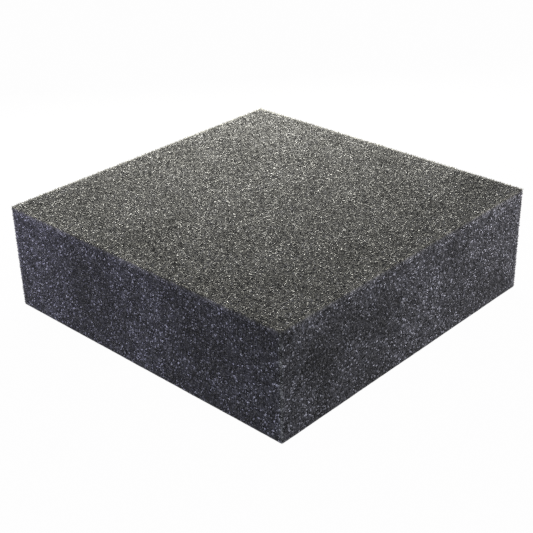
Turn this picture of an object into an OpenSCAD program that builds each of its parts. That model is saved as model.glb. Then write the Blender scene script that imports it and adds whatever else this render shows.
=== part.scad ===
// Block of soft open-cell foam, knife-cut from a slab.
// One solid piece: two slab faces above and below, four cut sides, and edges that the
// blade leaves slightly eased. It rests on its base, centred on the origin.

/* [Block] */
// Length along X
block_length = 100; // [40:1:200]
// Width along Y
block_width = 100; // [40:1:200]
// Height, which is the thickness of the slab
block_height = 31; // [12:0.5:60]

/* [Cut edges] */
// Radius of the four upright corner edges
corner_radius = 1.2; // [0.8:0.1:6]
// Radius of the rims round the top and bottom faces
rim_radius = 0.8; // [0.2:0.1:0.8]

/* [Hidden] */
$fn = 64;

// Colour of the foam, a neutral charcoal
foam_color = [0.30, 0.30, 0.31];

// Centres of the upright corner edges
corner_x = block_length / 2 - corner_radius;
corner_y = block_width / 2 - corner_radius;

// Height of the centre of the upper rim's round section; the lower one's is rim_radius
upper_rim_z = block_height - rim_radius;

// Puts the children at each of the four corner edges
module at_corners() {
    for (x = [-corner_x, corner_x], y = [-corner_y, corner_y])
        translate([x, y]) children();
}

// Outline of the block seen from above, moved in from its sides by an inset
module plan(inset = 0) {
    at_corners() circle(corner_radius - inset);
    square([2 * corner_x, block_width - 2 * inset], center = true);
    square([block_length - 2 * inset, 2 * corner_y], center = true);
}

// Round stretch of a rim along one side of a given length
module rim_side(length) {
    rotate([0, 90, 0]) cylinder(r = rim_radius, h = length, center = true);
}

// Round stretch of a rim where it turns a corner edge
module rim_corner() {
    rotate_extrude()
        intersection() {
            translate([corner_radius - rim_radius, 0]) circle(rim_radius);
            translate([0, -rim_radius]) square([corner_radius, 2 * rim_radius]);
        }
}

// One closed rim: four sides and four turned corners
module rim() {
    for (side = [-1, 1]) {
        translate([0, side * (block_width / 2 - rim_radius), 0])
            rim_side(2 * corner_x);
        translate([side * (block_length / 2 - rim_radius), 0, 0])
            rotate([0, 0, 90]) rim_side(2 * corner_y);
    }
    at_corners() rim_corner();
}

// The whole block: upright sides between the rims, a core that reaches both flat faces, and the rims
module foam_block() {
    color(foam_color) union() {
        translate([0, 0, rim_radius])
            linear_extrude(upper_rim_z - rim_radius) plan();
        linear_extrude(block_height) plan(rim_radius);
        for (z = [rim_radius, upper_rim_z])
            translate([0, 0, z]) rim();
    }
}

foam_block();
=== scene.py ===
import math

import bpy
import numpy as np
from mathutils import Matrix, Vector


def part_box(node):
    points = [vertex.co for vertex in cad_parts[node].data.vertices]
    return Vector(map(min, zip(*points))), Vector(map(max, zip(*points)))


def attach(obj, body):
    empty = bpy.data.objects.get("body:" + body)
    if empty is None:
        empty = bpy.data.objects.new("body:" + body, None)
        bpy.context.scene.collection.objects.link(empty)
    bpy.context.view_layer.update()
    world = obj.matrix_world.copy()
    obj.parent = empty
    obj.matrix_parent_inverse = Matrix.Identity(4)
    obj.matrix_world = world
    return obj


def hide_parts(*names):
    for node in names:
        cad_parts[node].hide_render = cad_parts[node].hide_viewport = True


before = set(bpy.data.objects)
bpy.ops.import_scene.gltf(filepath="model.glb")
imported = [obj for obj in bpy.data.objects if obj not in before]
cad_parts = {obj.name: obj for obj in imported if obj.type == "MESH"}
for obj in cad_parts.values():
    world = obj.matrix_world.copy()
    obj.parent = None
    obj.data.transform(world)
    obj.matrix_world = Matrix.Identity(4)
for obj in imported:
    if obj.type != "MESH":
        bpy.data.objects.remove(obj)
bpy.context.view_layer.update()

blockLow, blockHigh = (np.array(corner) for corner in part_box("foam_block"))
blockSize = blockHigh - blockLow
blockCentre = (blockLow + blockHigh) / 2
mm = 0.001
scene = bpy.context.scene
print("frame loaded, block measures", np.round(blockSize / mm, 2), "mm")


# camera, set where the photograph was taken from
photoView = {
    "azimuth": 43.67,  # degrees round from the front, towards the right
    "elevation": 28.22,  # degrees above the table
    "roll": -1.40,  # degrees, the camera was held slightly tilted
    "distance": 317.1 * mm,
    "lens": 76.26,  # millimetres on a 36 mm sensor
    "aimRight": -0.97 * mm,  # the aim lies this far from the block's centre, across the picture
    "aimUp": -5.34 * mm,  # and this far up the picture
    "nearest": 5 * mm,  # what is closer to the camera isn't drawn
}


def placeCamera(view):
    # the camera backs off from the aim along the viewing direction and turns about it by the roll
    turn, rise = math.radians(view["azimuth"]), math.radians(view["elevation"])
    back = Vector((math.sin(turn) * math.cos(rise), -math.cos(turn) * math.cos(rise), math.sin(rise)))
    right = Vector((math.cos(turn), math.sin(turn), 0))
    up = back.cross(right)
    aim = Vector(blockCentre) + right * view["aimRight"] + up * view["aimUp"]
    tilt = math.radians(view["roll"])
    pictureRight = right * math.cos(tilt) + up * math.sin(tilt)
    pictureUp = up * math.cos(tilt) - right * math.sin(tilt)
    camera = bpy.data.objects.new("photoCamera", bpy.data.cameras.new("photoCamera"))
    camera.data.lens = view["lens"]
    camera.data.clip_start = view["nearest"]
    axes = Matrix((pictureRight, pictureUp, back)).transposed().to_4x4()
    camera.matrix_world = Matrix.Translation(aim + back * view["distance"]) @ axes
    scene.collection.objects.link(camera)
    scene.camera = camera


placeCamera(photoView)
print("camera placed")


# the cut that the block and its strand ends share
foamCut = {
    "cornerEase": 1.2 * mm,  # radius of the upright cut edges
    "rimEase": 0.8 * mm,  # radius of the rims round the top and bottom
    "scatter": 0.36,  # how far points stray along the surface, in grid steps
    "waveLength": 22 * mm,  # slow unevenness of a knife cut in soft foam
    "waveDepth": 0.08 * mm,
    "waveCount": 7,
    "waveSpread": (0.7, 1.6),  # fewest and most turns of a wave in that length
    "waveSeed": 91,
    "edgeReach": 0.85 * mm,  # how far the frayed cut edges reach into the faces
    "uprightShare": 0.5,  # how frayed the upright edges are, beside the upper rim, and how much painted edge light they get
}


def boxLattice(counts):
    # six grids, one on each side of a box of whole steps; a point's number gives its three places,
    # so that the points on shared edges merge into one closed surface
    stride = ((counts[1] + 1) * (counts[2] + 1), counts[2] + 1, 1)
    sides = []
    for axis in range(3):
        across, along = (axis + 1) % 3, (axis + 2) % 3
        i, j = np.meshgrid(np.arange(counts[across]), np.arange(counts[along]), indexing="ij")
        for end in (0, counts[axis]):
            first = end * stride[axis] + i * stride[across] + j * stride[along]
            second = first + stride[across]
            ring = np.stack([first, second, second + stride[along], first + stride[along]], -1)
            sides.append(ring.reshape(-1, 4) if end else ring.reshape(-1, 4)[:, ::-1])
    numbers, quads = np.unique(np.concatenate(sides), return_inverse=True)
    places = np.stack(np.unravel_index(numbers, counts + 1), -1)
    return places, quads.reshape(-1, 4)


def unitVectors(vectors):
    # each vector over its own length
    return vectors / np.maximum(np.linalg.norm(vectors, axis=-1, keepdims=True), 1e-12)


def easedSurface(boxPoints, cornerEase, rimEase):
    # each point of the sharp box is drawn in to a core, a plate whose corners have the rest of the corner
    # radius, and then set one rim radius out from it: a rolling ball gives the same surface
    half = blockSize / 2
    fromMiddle = boxPoints - blockCentre
    core = np.clip(fromMiddle, rimEase - half, half - rimEase)
    straight = np.clip(fromMiddle[:, :2], cornerEase - half[:2], half[:2] - cornerEase)
    outward = fromMiddle[:, :2] - straight
    reach = np.maximum(np.linalg.norm(outward, axis=1, keepdims=True), 1e-12)
    core[:, :2] = straight + outward * np.minimum(1, (cornerEase - rimEase) / reach)
    outwards = unitVectors(fromMiddle - core)
    return blockCentre + core + outwards * rimEase, outwards


def slowWaves(points, cut):
    # mean of a few sine waves that run in random directions, from 0 to 1
    count = cut["waveCount"]
    rng = np.random.default_rng(cut["waveSeed"])
    directions = unitVectors(rng.normal(size=(count, 3)))
    turns = 2 * np.pi * rng.uniform(*cut["waveSpread"], count) / cut["waveLength"]
    phases = points @ (directions * turns[:, None]).T + rng.uniform(0, 2 * np.pi, count)
    return 0.5 + 0.5 * np.sin(phases).mean(axis=1)


def cutPlaces(cut, step, ease, seed):
    # lattice points strayed along their faces, carried on to the eased block and sunk by the slow waves;
    # nearness to an edge is a bell curve of the distance to it, 1 on the edge and 0 away from it
    counts = np.round(blockSize / step).astype(int)
    places, quads = boxLattice(counts)
    inside = (places > 0) & (places < counts)
    stray = np.random.default_rng(seed).uniform(-1, 1, places.shape) * cut["scatter"]
    boxPoints = blockLow + (places + inside * stray) / counts * blockSize
    points, outwards = easedSurface(boxPoints, cut["cornerEase"] + ease, cut["rimEase"] + ease)
    points -= outwards * (cut["waveDepth"] * slowWaves(points, cut))[:, None]

    toX, toY, toZ = np.minimum(boxPoints - blockLow, blockHigh - boxPoints).T
    toTop = blockHigh[2] - boxPoints[:, 2]
    distances = {
        "edge": np.sort([toX, toY, toZ], axis=0)[1],
        "rim": np.maximum(toTop, np.minimum(toX, toY)),
        "upright": np.maximum(toX, toY),
        "top": toTop,
    }
    near = {name: np.exp(-((distance / cut["edgeReach"]) ** 2)) for name, distance in distances.items()}
    near["nap"] = np.maximum(near["rim"], cut["uprightShare"] * near["upright"])
    return {"box": boxPoints, "points": points, "outwards": outwards, "quads": quads, "near": near}


def addPiece(name, points, faces, layers):
    # one smooth mesh from an array of points and an array of faces with equally many corners,
    # and a number for each point in every layer
    mesh = bpy.data.meshes.new(name)
    mesh.vertices.add(len(points))
    mesh.vertices.foreach_set("co", points.astype(np.float32).ravel())
    mesh.loops.add(faces.size)
    mesh.loops.foreach_set("vertex_index", faces.astype(np.int32).ravel())
    mesh.polygons.add(len(faces))
    mesh.polygons.foreach_set("loop_start", np.arange(0, faces.size, faces.shape[1], dtype=np.int32))
    mesh.polygons.foreach_set("use_smooth", np.ones(len(faces), dtype=bool))
    mesh.update(calc_edges=True)
    for label, values in layers.items():
        layer = mesh.attributes.new(label, "FLOAT", "POINT")
        layer.data.foreach_set("value", values.astype(np.float32))
    piece = bpy.data.objects.new(name, mesh)
    scene.collection.objects.link(piece)
    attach(piece, "root")
    return piece


# the block, down to the floors of the cells that the blade opened
foamBody = {
    "gridStep": 0.8 * mm,  # between neighbouring points of the surface
    "openDepth": 0.22 * mm,  # how far the floor of the open cells lies under the cut
    "tornDepth": 0.04 * mm,  # how much that depth varies from cell to cell
    "sharper": 0.5 * mm,  # how much tighter its edges are than those of the cut, which the strands fill out
    "seed": 11,
}


def foamBlock(cut, body):
    # the eased cut with every point sunk along its normal, by the open depth and a random share of
    # the torn one
    cutAt = cutPlaces(cut, body["gridStep"], -body["sharper"], body["seed"])
    torn = np.random.default_rng(body["seed"] + 1).uniform(size=len(cutAt["points"]))
    sink = body["openDepth"] + body["tornDepth"] * (torn - 0.5)
    points = cutAt["points"] - cutAt["outwards"] * sink[:, None]
    # nearness to the frayed edges, kept for the painted edge light in the foam's colour
    layers = {"tornDepth": torn, "frayAndEdgeLight": cutAt["near"]["nap"]}
    piece = addPiece("foamBlock", points, cutAt["quads"], layers)
    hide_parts("foam_block")
    print("foam block made,", 2 * len(cutAt["quads"]), "triangles")
    return piece


# the cut ends of the cell walls, small four-cornered grains that stand on the block
strandEnds = {
    "step": 0.68 * mm,  # between neighbouring strand ends
    "size": 0.28 * mm,  # from the middle of a strand end to its corners
    "spread": (0.6, 1.35),  # smallest and largest, as shares of that size
    "stretch": 1.6,  # how much longer than wide a strand end is
    "sink": 0.20 * mm,  # how far its middle lies under the cut
    "rise": 0.08 * mm,  # how far its corners may stand out of the cut
    "edgeFine": 0.35,  # how much smaller strand ends are along the edges
    "fray": 0.8,  # how far frayed ones reach from the eased edge to the sharp one
    "rounding": 0.36,  # how much of its own round form shows in the shading of a strand end
    "rimLift": 4.0,  # how far the frayed strands of the upper rim face up
    "seed": 11,
}


def randomTurns(count, rng):
    # rotation matrices of random unit quaternions, which turn evenly every way
    w, x, y, z = unitVectors(rng.normal(size=(count, 4))).T
    return np.array([
        [1 - 2 * (y * y + z * z), 2 * (x * y - w * z), 2 * (x * z + w * y)],
        [2 * (x * y + w * z), 1 - 2 * (x * x + z * z), 2 * (y * z - w * x)],
        [2 * (x * z - w * y), 2 * (y * z + w * x), 1 - 2 * (x * x + y * y)],
    ])


def grainCorners(cut, strands):
    # a stretched tetrahedron per place of the cut, turned at random and sunk, with the corners that would
    # stand too far out pressed back; its normals lean from the face, or from straight up at the upper rim,
    # towards its own corners
    cutAt = cutPlaces(cut, strands["step"], 0, strands["seed"])
    near, outwards = cutAt["near"], cutAt["outwards"]
    places = cutAt["points"] + (cutAt["box"] - cutAt["points"]) * (strands["fray"] * near["nap"])[:, None]
    rng = np.random.default_rng(strands["seed"] + 2)
    tetrahedron = np.array([[1, 1, 1], [-1, -1, 1], [-1, 1, -1], [1, -1, -1]]) / math.sqrt(3)
    stretched = tetrahedron * np.array([1, 1, strands["stretch"]])
    turns = randomTurns(len(places), rng)
    size = strands["size"] * rng.uniform(*strands["spread"], len(places))
    size *= 1 - strands["edgeFine"] * near["edge"]
    offsets = np.einsum("ijn,kj->nki", turns, stretched) * size[:, None, None]
    offsets -= outwards[:, None, :] * strands["sink"]
    height = np.einsum("nki,ni->nk", offsets, outwards)
    standing = outwards[:, 2] > -0.5  # all but those of the base, which lies flat
    rise = strands["rise"] * (1 - near["edge"]) * standing
    offsets -= outwards[:, None, :] * np.maximum(height - rise[:, None], 0)[:, :, None]
    turned = np.linalg.det(offsets[:, 1:] - offsets[:, :1]) < 0  # pressed inside out
    offsets[turned] = offsets[turned][:, [0, 2, 1, 3]]

    facing = unitVectors(outwards + np.array([0, 0, 1]) * (strands["rimLift"] * near["top"])[:, None])
    radial = unitVectors(offsets - offsets.mean(axis=1, keepdims=True))
    normals = unitVectors(radial * strands["rounding"] + facing[:, None, :] * (1 - strands["rounding"]))
    light = rng.uniform(size=len(places))
    level = cutAt["box"][:, 2]
    onFace = (level >= blockHigh[2]).astype(int) - (level <= blockLow[2])
    return places[:, None, :] + offsets, normals, light, near["nap"], onFace


def grainMap(mesh, count):
    # a square cell of the map for each strand end, with its four faces on one triangle inside the cell,
    # because a strand end has one colour all round
    cells = math.ceil(math.sqrt(count))
    cell = np.stack([np.arange(count) % cells, np.arange(count) // cells], -1)
    triangle = np.array([[0.15, 0.15], [0.85, 0.15], [0.5, 0.85]])
    spots = (cell[:, None, None, :] + np.tile(triangle, (4, 1, 1))) / cells
    mesh.uv_layers.new(name="OFBake").data.foreach_set("uv", spots.astype(np.float32).ravel())


def strandPieces(cut, strands):
    # the grains of the top, the sides and the base, each as one piece of four faces a grain
    corners, normals, light, nap, onFace = grainCorners(cut, strands)
    outwardFaces = np.array([[0, 2, 1], [0, 1, 3], [0, 3, 2], [1, 2, 3]])
    pieces = []
    for name, face in (("topStrands", 1), ("sideStrands", 0), ("baseStrands", -1)):
        chosen = np.flatnonzero(onFace == face)
        triangles = (4 * np.arange(len(chosen))[:, None, None] + outwardFaces).reshape(-1, 3)
        # each strand end keeps its random lightness and its nearness to the frayed edges, which sets the
        # painted edge light
        layers = {"strandLight": np.repeat(light[chosen], 4), "frayAndEdgeLight": np.repeat(nap[chosen], 4)}
        piece = addPiece(name, corners[chosen].reshape(-1, 3), triangles, layers)
        piece.data.normals_split_custom_set_from_vertices(normals[chosen].reshape(-1, 3))
        grainMap(piece.data, len(chosen))
        piece.visible_shadow = False  # thin cell walls let the light by
        pieces.append(piece)
        print(name, "made,", len(triangles), "triangles")
    return pieces


block = foamBlock(foamCut, foamBody)
endPieces = strandPieces(foamCut, strandEnds)


# charcoal foam: dark cell floors with painted shade in their pores, and lighter cut ends, a few of them
# painted glints, with the same slow clouds and frayed edges, whose lighter, warmer colour is painted light
foamTone = {
    "tint": (0.97, 0.97, 1.06, 1),  # slightly blue
    "cloudSize": 15.0,  # millimetres across the faint light and dark clouds
    "cloudDetail": 3.0,  # how many finer sizes they have in them
    "cloudDepth": 0.52,
    "paintedEdgeLight": 4.6,  # painted light: how much lighter the frayed edges are coloured, standing in for the light that shines through them
    "paintedEdgeWarmth": (1.05, 1.02, 0.88, 1),  # and how much warmer, as light shines through them
    "palest": 0.6,  # the lightest grey that any of the foam may reach
}
floorFinish = {
    "level": 0.0375,  # about the mean grey of the cell floors
    "strandsPerMm": 1.7,  # how fine the strands deeper in the cells lie
    "sharpness": 2.0,  # how hard they stand out from the pores between them, whose dark is painted shade
    "clumpsPerMm": 0.55,
    "clumpSharpness": 1.0,
    "paintedDepthShade": (1.3, 0.4),  # painted shade: levels of the shallowest and the deepest cells
    "roughness": (0.68, 0.52),  # of pores and of strands
    "lean": 0.9,  # how far the cell walls lean out of the face
    "gloss": 0.1,
}
endFinish = {
    "darkest": 0.05,  # greys of the strand ends; the lightest are partly their own tone and partly painted glints
    "lightest": 0.60,
    "paintedGlintRarity": 4.5,  # the higher, the fewer light ends there are, which are partly painted glints
    "roughness": (0.36, 0.27),  # of dark and of light ends
    "gloss": 0.28,
}


def addNode(tree, kind, inputs=None, **settings):
    # a node with its settings, each input given as a number, a colour or the socket that feeds it
    node = tree.nodes.new(kind)
    for key, value in settings.items():
        setattr(node, key, value)
    for key, value in (inputs or {}).items():
        if isinstance(value, bpy.types.NodeSocket):
            tree.links.new(value, node.inputs[key])
        else:
            node.inputs[key].default_value = value
    return node


def mathNode(tree, operation, *values):
    # one operation on up to three numbers
    return addNode(tree, "ShaderNodeMath", dict(enumerate(values)), operation=operation).outputs[0]


def rangeNode(tree, value, fromRange, toRange, curve="LINEAR"):
    # a value carried from one range to another, straight or as a smooth step, and held at both ends
    inputs = {"Value": value, "From Min": fromRange[0], "From Max": fromRange[1]}
    inputs.update({"To Min": toRange[0], "To Max": toRange[1]})
    return addNode(tree, "ShaderNodeMapRange", inputs, interpolation_type=curve).outputs["Result"]


def newGroup(name, inputs, outputs):
    # an empty node group with named sockets
    group = bpy.data.node_groups.new(name, "ShaderNodeTree")
    for label, kind in inputs.items():
        group.interface.new_socket(label, in_out="INPUT", socket_type=kind)
    for label, kind in outputs.items():
        group.interface.new_socket(label, in_out="OUTPUT", socket_type=kind)
    return group, addNode(group, "NodeGroupInput").outputs, addNode(group, "NodeGroupOutput").inputs


def strandGroup():
    # random strands at one size: twice a smooth noise, to a power so that few and narrow parts stand out
    # light, and the noise's colour less its mean, as the way that each wall leans
    inputs = {
        "Place": "NodeSocketVector",
        "Strands per mm": "NodeSocketFloat",
        "Sharpness": "NodeSocketFloat",
    }
    outputs = {"Light": "NodeSocketFloat", "Lean": "NodeSocketVector"}
    group, given, result = newGroup("strands", inputs, outputs)
    settings = {"Vector": given["Place"], "Scale": given["Strands per mm"], "Detail": 0.0}
    noise = addNode(group, "ShaderNodeTexNoise", settings)
    twice = mathNode(group, "MULTIPLY", noise.outputs["Fac"], 2.0)
    group.links.new(mathNode(group, "POWER", twice, given["Sharpness"]), result["Light"])
    middle = {0: noise.outputs["Color"], 1: (0.5, 0.5, 0.5)}
    lean = addNode(group, "ShaderNodeVectorMath", middle, operation="SUBTRACT")
    group.links.new(lean.outputs["Vector"], result["Lean"])
    return group


def toneGroup():
    # the foam's colour from a level: the level times slow clouds about 1, times a gain of painted light
    # that rises towards the frayed edges, where light shines through the foam, held under a pale grey and
    # tinted, warmer along those edges
    inputs = {
        "Level": "NodeSocketFloat",
        "Place": "NodeSocketVector",
        "Edge": "NodeSocketFloat",
        "Clouds per mm": "NodeSocketFloat",
        "Cloud detail": "NodeSocketFloat",
        "Cloud depth": "NodeSocketFloat",
        "Painted edge light": "NodeSocketFloat",
        "Palest": "NodeSocketFloat",
        "Tint": "NodeSocketColor",
        "Painted edge warmth": "NodeSocketColor",
    }
    group, given, result = newGroup("foamTone", inputs, {"Colour": "NodeSocketColor"})
    settings = {"Vector": given["Place"], "Scale": given["Clouds per mm"], "Detail": given["Cloud detail"]}
    noise = addNode(group, "ShaderNodeTexNoise", settings)
    # nearly all of the noise lies between a quarter and three quarters
    swing = rangeNode(group, noise.outputs["Fac"], (0.25, 0.75), (-1.0, 1.0), "SMOOTHSTEP")
    clouds = mathNode(group, "MULTIPLY_ADD", swing, given["Cloud depth"], 1.0)
    edges = mathNode(group, "MULTIPLY_ADD", given["Edge"], given["Painted edge light"], 1.0)
    level = mathNode(group, "MULTIPLY", mathNode(group, "MULTIPLY", given["Level"], clouds), edges)
    level = mathNode(group, "MINIMUM", level, given["Palest"])
    # a Mix node has its two colours on inputs 6 and 7, and the mixed one on output 2
    tints = {0: given["Edge"], 6: given["Tint"], 7: given["Painted edge warmth"]}
    tint = addNode(group, "ShaderNodeMix", tints, data_type="RGBA").outputs[2]
    tinted = addNode(group, "ShaderNodeVectorMath", {0: tint, "Scale": level}, operation="SCALE")
    group.links.new(tinted.outputs["Vector"], result["Colour"])
    return group


def placeInMm(tree):
    # Object coordinates in millimetres
    place = {0: addNode(tree, "ShaderNodeTexCoord").outputs["Object"], "Scale": 1 / mm}
    return addNode(tree, "ShaderNodeVectorMath", place, operation="SCALE").outputs["Vector"]


def attribute(tree, name):
    # a number that the mesh holds for each point
    return addNode(tree, "ShaderNodeAttribute", attribute_name=name).outputs["Fac"]


def foamColour(tree, group, tone, level, place):
    # the tone group at work on a level, with the foam's own clouds and the painted light along its edges
    settings = {
        "Level": level,
        "Place": place,
        "Edge": attribute(tree, "frayAndEdgeLight"),
        "Clouds per mm": 1 / tone["cloudSize"],
        "Cloud detail": tone["cloudDetail"],
        "Cloud depth": tone["cloudDepth"],
        "Painted edge light": tone["paintedEdgeLight"],
        "Palest": tone["palest"],
        "Tint": tone["tint"],
        "Painted edge warmth": tone["paintedEdgeWarmth"],
    }
    return addNode(tree, "ShaderNodeGroup", settings, node_tree=group).outputs["Colour"]


def newMaterial(name):
    # a material with its node tree and its one shader
    material = bpy.data.materials.new(name)
    material.use_nodes = True
    return material, material.node_tree, material.node_tree.nodes["Principled BSDF"]


def cellFloors(finish, tone, toneNodes):
    # fine strands times coarse clumps, with painted shade in the pores between the strands and more painted
    # shade where the cells are torn deeper; each wall leans its own way
    material, tree, shader = newMaterial("cellFloors")
    place = placeInMm(tree)
    group = strandGroup()
    strands = {"Strands per mm": finish["strandsPerMm"], "Sharpness": finish["sharpness"]}
    clumps = {"Strands per mm": finish["clumpsPerMm"], "Sharpness": finish["clumpSharpness"]}
    fine = addNode(tree, "ShaderNodeGroup", {"Place": place, **strands}, node_tree=group)
    coarse = addNode(tree, "ShaderNodeGroup", {"Place": place, **clumps}, node_tree=group)
    level = mathNode(tree, "MULTIPLY", fine.outputs["Light"], coarse.outputs["Light"])
    # painted shade: the deeper a cell is torn, the darker its floor
    torn = rangeNode(tree, attribute(tree, "tornDepth"), (0, 1), finish["paintedDepthShade"], "SMOOTHSTEP")
    level = mathNode(tree, "MULTIPLY", mathNode(tree, "MULTIPLY", level, torn), finish["level"])
    tree.links.new(foamColour(tree, toneNodes, tone, level, place), shader.inputs["Base Color"])
    rough = rangeNode(tree, fine.outputs["Light"], (0, 2), finish["roughness"])
    tree.links.new(rough, shader.inputs["Roughness"])

    normal = addNode(tree, "ShaderNodeNewGeometry").outputs["Normal"]
    leaning = {0: fine.outputs["Lean"], 1: (finish["lean"],) * 3, 2: normal}
    leaning = addNode(tree, "ShaderNodeVectorMath", leaning, operation="MULTIPLY_ADD").outputs["Vector"]
    facing = addNode(tree, "ShaderNodeVectorMath", {0: leaning}, operation="NORMALIZE").outputs["Vector"]
    tree.links.new(facing, shader.inputs["Normal"])
    shader.inputs["Specular IOR Level"].default_value = finish["gloss"]
    return material


def cutEnds(finish, tone, toneNodes):
    # each strand end has its own random lightness, to a power so that few are light, partly their own tone
    # and partly painted glints; light ones are smoother
    material, tree, shader = newMaterial("cutEnds")
    light = attribute(tree, "strandLight")
    rare = mathNode(tree, "POWER", light, finish["paintedGlintRarity"])
    level = rangeNode(tree, rare, (0, 1), (finish["darkest"], finish["lightest"]))
    tree.links.new(foamColour(tree, toneNodes, tone, level, placeInMm(tree)), shader.inputs["Base Color"])
    tree.links.new(rangeNode(tree, light, (0, 1), finish["roughness"]), shader.inputs["Roughness"])
    shader.inputs["Specular IOR Level"].default_value = finish["gloss"]
    return material


foamToneNodes = toneGroup()
block.data.materials.append(cellFloors(floorFinish, foamTone, foamToneNodes))
endMaterial = cutEnds(endFinish, foamTone, foamToneNodes)
for piece in endPieces:
    piece.data.materials.append(endMaterial)
print("foam finished")


# studio: a pale table, a long warm lamp behind, low cool strips at both sides and a weak lamp in front
studio = {
    "tableRadius": 1.5,  # metres
    "tableCorners": 96,
    "tableColour": (0.82, 0.82, 0.82, 1),
    "tableGlow": 0.985,  # share of the table that the camera sees as plain white
    "ambient": 0.03,  # strength of the even light from all round
    "lamps": {
        # name: (place in metres from the block's centre, width and height, watts, colour)
        "backLamp": ((-0.122, 0.10, 0.065), (0.30, 0.07), 0.56, (1.0, 0.984, 0.864)),
        "leftStrip": ((-0.21, -0.23, 0.0), (0.25, 0.06), 0.455, (0.72, 0.695, 1.0)),
        "rightStrip": ((0.186, 0.234, 0.0), (0.25, 0.06), 0.645, (0.942, 0.915, 1.0)),
        "frontLamp": ((0.25, -0.25, 0.0), (0.30, 0.20), 0.41, (0.813, 0.876, 1.0)),
    },
}


def whiteToCamera(tree):
    # 1 for the rays that show the background, straight on or in gloss or glass, and 0 for those that light
    path = addNode(tree, "ShaderNodeLightPath").outputs
    seen = mathNode(tree, "MAXIMUM", path["Is Camera Ray"], path["Is Glossy Ray"])
    return mathNode(tree, "MAXIMUM", seen, path["Is Transmission Ray"])


def paleTable(setup):
    # a disc under the block, one polygon round the origin
    angles = np.linspace(0, 2 * np.pi, setup["tableCorners"], endpoint=False)
    edge = np.stack([np.cos(angles), np.sin(angles), np.zeros_like(angles)], -1) * setup["tableRadius"]
    mesh = bpy.data.meshes.new("table")
    mesh.from_pydata(edge.tolist(), [], [list(range(len(edge)))])
    table = bpy.data.objects.new("table", mesh)
    scene.collection.objects.link(table)
    material = bpy.data.materials.new("paleTable")
    material.use_nodes = True
    tree = material.node_tree
    tree.nodes.clear()
    matte = addNode(tree, "ShaderNodeBsdfDiffuse", {"Color": setup["tableColour"]}).outputs[0]
    white = addNode(tree, "ShaderNodeEmission").outputs[0]
    share = mathNode(tree, "MULTIPLY", whiteToCamera(tree), setup["tableGlow"])
    mixed = addNode(tree, "ShaderNodeMixShader", {0: share, 1: matte, 2: white}).outputs[0]
    addNode(tree, "ShaderNodeOutputMaterial", {"Surface": mixed})
    mesh.materials.append(material)


def softLamps(setup):
    # elliptic area lamps that face the block's centre
    for name, (place, size, watts, colour) in setup["lamps"].items():
        data = bpy.data.lights.new(name, "AREA")
        data.shape = "ELLIPSE"
        data.size, data.size_y = size
        data.energy = watts
        data.color = colour
        lamp = bpy.data.objects.new(name, data)
        lamp.location = Vector(blockCentre) + Vector(place)
        lamp.rotation_euler = (-Vector(place)).to_track_quat("-Z", "Y").to_euler()
        lamp.visible_camera = False
        scene.collection.objects.link(lamp)


def paleWorld(setup):
    # white where it is seen, and a faint even light elsewhere
    world = bpy.data.worlds.new("studio")
    world.use_nodes = True
    tree = world.node_tree
    background = tree.nodes["Background"]
    background.inputs["Color"].default_value = (1, 1, 1, 1)
    strength = rangeNode(tree, whiteToCamera(tree), (0, 1), (setup["ambient"], 1.0))
    tree.links.new(strength, background.inputs["Strength"])
    scene.world = world


paleTable(studio)
softLamps(studio)
paleWorld(studio)
scene.view_settings.view_transform = "Standard"
scene.cycles.use_denoising = False  # smoothing would wipe the strand ends away
print("studio lit")
